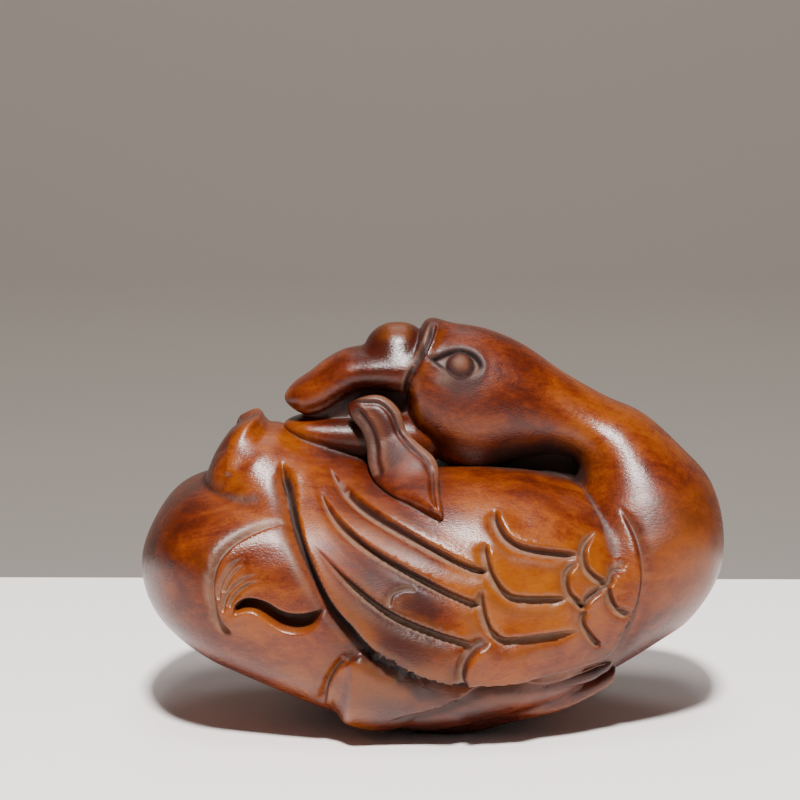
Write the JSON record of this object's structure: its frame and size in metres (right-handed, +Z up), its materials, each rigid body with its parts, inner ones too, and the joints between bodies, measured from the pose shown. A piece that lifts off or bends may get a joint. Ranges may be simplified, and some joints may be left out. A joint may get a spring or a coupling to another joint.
{
  "type": "wooden goose figurine",
  "caption": "Small carved wooden goose at rest, its head turned back over its wings and a leaf in its bill. Stands on its flat underside.",
  "frame": {"origin": "centre of the flat underside, on the surface that the figurine stands on", "axes": "+X towards the breast, -Y the side that the leaf hangs on, +Z up"},
  "size_m": [0.0602, 0.0366, 0.0414],
  "materials": {
    "polished_boxwood": "oiled and polished by handling, satin gloss"
  },
  "bodies": {
    "root": {"carved_goose": "polished_boxwood"}
  },
  "joints": []
}
